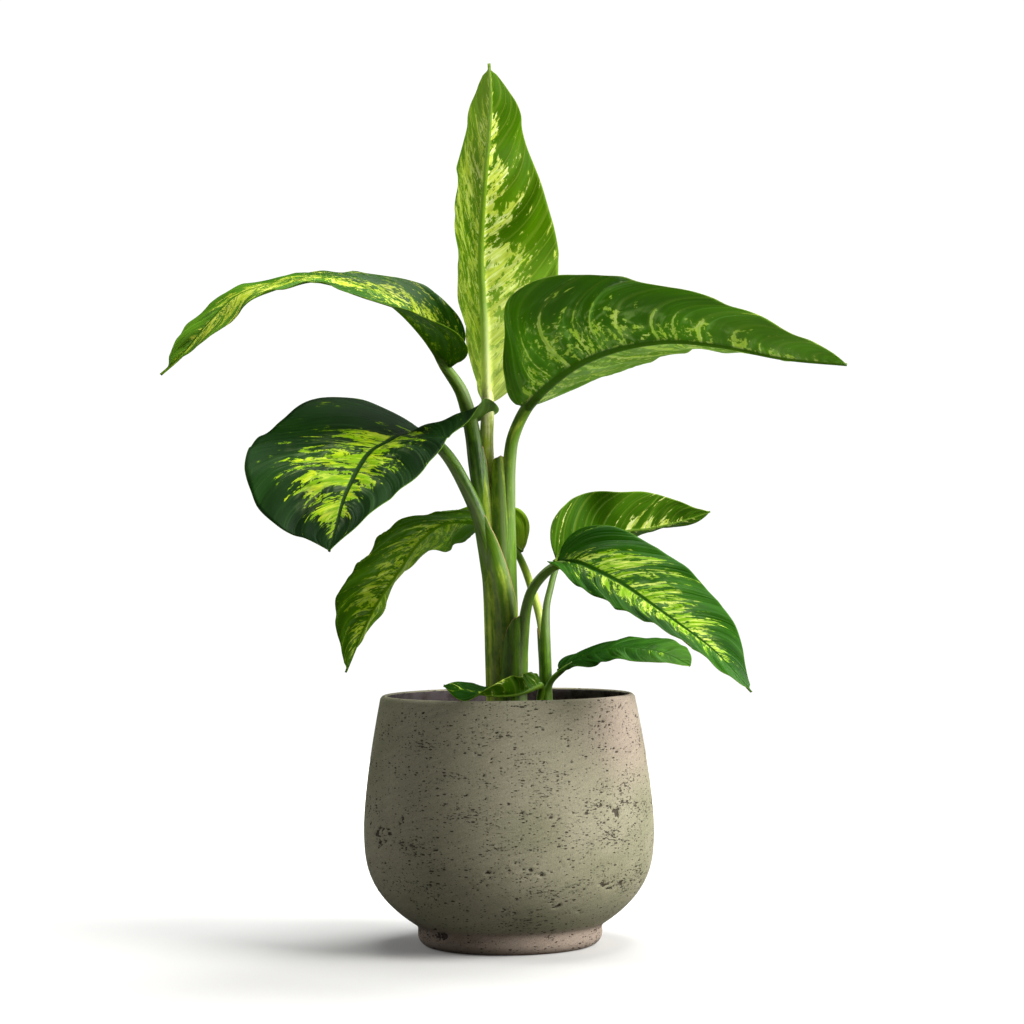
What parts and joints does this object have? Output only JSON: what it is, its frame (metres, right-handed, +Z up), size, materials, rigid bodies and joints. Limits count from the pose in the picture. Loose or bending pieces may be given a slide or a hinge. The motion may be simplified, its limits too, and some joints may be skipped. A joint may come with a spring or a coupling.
{
  "type": "potted dumb cane",
  "caption": "Variegated dumb cane with arching pointed leaves on sheathed stalks, growing in a round pitted concrete planter with a small foot.",
  "frame": {"origin": "centre of the planter's flat underside", "axes": "+Z up along the planter's axis, -Y towards the side seen from the front"},
  "size_m": [0.4573, 0.3082, 0.6095],
  "materials": {
    "concrete": "olive-grey cast concrete, pitted, matt",
    "soil": "dark moist potting soil",
    "cane": "green cane, smooth",
    "leaf_stalk": "smooth green stalk, faintly ribbed",
    "green_leaf": "waxy green leaf with cream and lime streaks along the veins",
    "lime_leaf": "thin yellow-green young leaf with cream blotches",
    "dark_leaf": "glossy bluish dark green leaf with a lime centre"
  },
  "bodies": {
    "root": {"planter": "concrete", "potting_soil": "soil", "main_cane": "cane", "top_leaf_stalk": "leaf_stalk", "upper_left_leaf_stalk": "leaf_stalk", "right_leaf_stalk": "leaf_stalk", "dark_left_leaf_stalk": "leaf_stalk", "front_right_leaf_stalk": "leaf_stalk", "rear_right_leaf_stalk": "leaf_stalk", "lower_left_leaf_stalk": "leaf_stalk", "low_right_leaf_stalk": "leaf_stalk", "rim_leaf_stalk": "leaf_stalk", "top_leaf_blade": "lime_leaf", "upper_left_leaf_blade": "green_leaf", "right_leaf_blade": "green_leaf", "dark_left_leaf_blade": "dark_leaf", "lower_left_leaf_blade": "green_leaf", "front_right_leaf_blade": "green_leaf", "rear_right_leaf_blade": "lime_leaf", "low_right_leaf_blade": "green_leaf", "rim_leaf_blade": "dark_leaf"}
  },
  "joints": []
}
